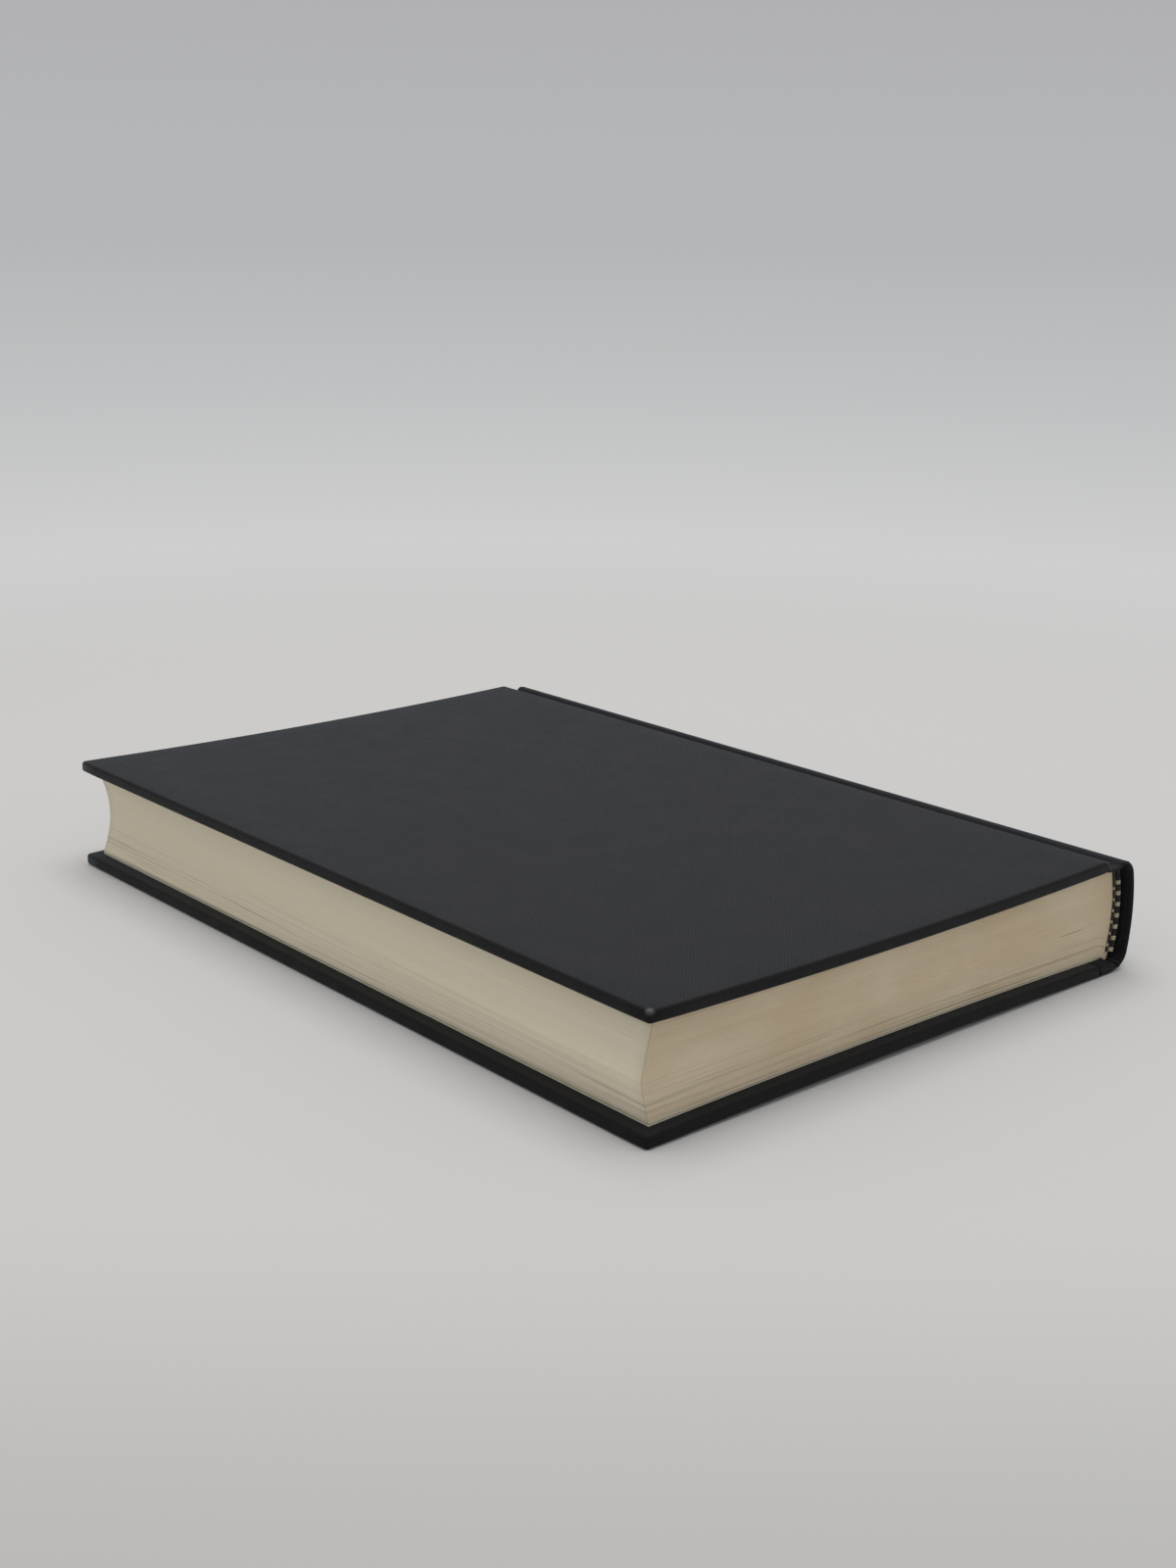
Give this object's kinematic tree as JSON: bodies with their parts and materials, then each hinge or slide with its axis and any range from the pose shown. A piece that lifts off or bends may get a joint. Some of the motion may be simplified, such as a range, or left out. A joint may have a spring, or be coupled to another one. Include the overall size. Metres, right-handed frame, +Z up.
{
  "type": "hardback book",
  "caption": "Case-bound hardback book in dark cloth, shut, with rounded spine, sewn bands, endpapers and covers that open at their joints.",
  "frame": {"origin": "middle of the footprint, at the level the shut book lies on", "axes": "+X from the spine to the fore edge, +Y from tail to head, +Z up through the front cover"},
  "size_m": [0.1682, 0.242, 0.031],
  "materials": {
    "book_cloth": "fine matt book cloth, charcoal",
    "grey_board": "dense grey board",
    "leaves": "edges of trimmed cream book paper",
    "endpaper": "smooth off-white endpaper",
    "mull": "open cotton gauze with glue",
    "kraft": "brown kraft paper",
    "inlay_card": "thin grey card",
    "band_thread": "black and cream thread over a cord"
  },
  "bodies": {
    "text_block": {"text_block": "leaves", "front_flyleaf": "endpaper", "back_flyleaf": "endpaper", "spine_mull": "mull", "spine_lining": "kraft", "headband": "band_thread", "tailband": "band_thread", "spine_inlay": "inlay_card", "spine_cloth": "book_cloth"},
    "front_cover": {"front_cover_cloth": "book_cloth", "front_board": "grey_board", "front_mull_flap": "mull", "front_pastedown": "endpaper"},
    "back_cover": {"back_cover_cloth": "book_cloth", "back_board": "grey_board", "back_mull_flap": "mull", "back_pastedown": "endpaper"}
  },
  "joints": [
    {"name": "front_cover_hinge", "type": "hinge", "parent": "text_block", "child": "front_cover", "pos_m": [-0.0774, 0, 0.02925], "axis": [0, -1, 0], "range_deg": [0, 178]},
    {"name": "back_cover_hinge", "type": "hinge", "parent": "text_block", "child": "back_cover", "pos_m": [-0.0774, 0, 0.00175], "axis": [0, 1, 0], "range_deg": [0, 178]}
  ]
}
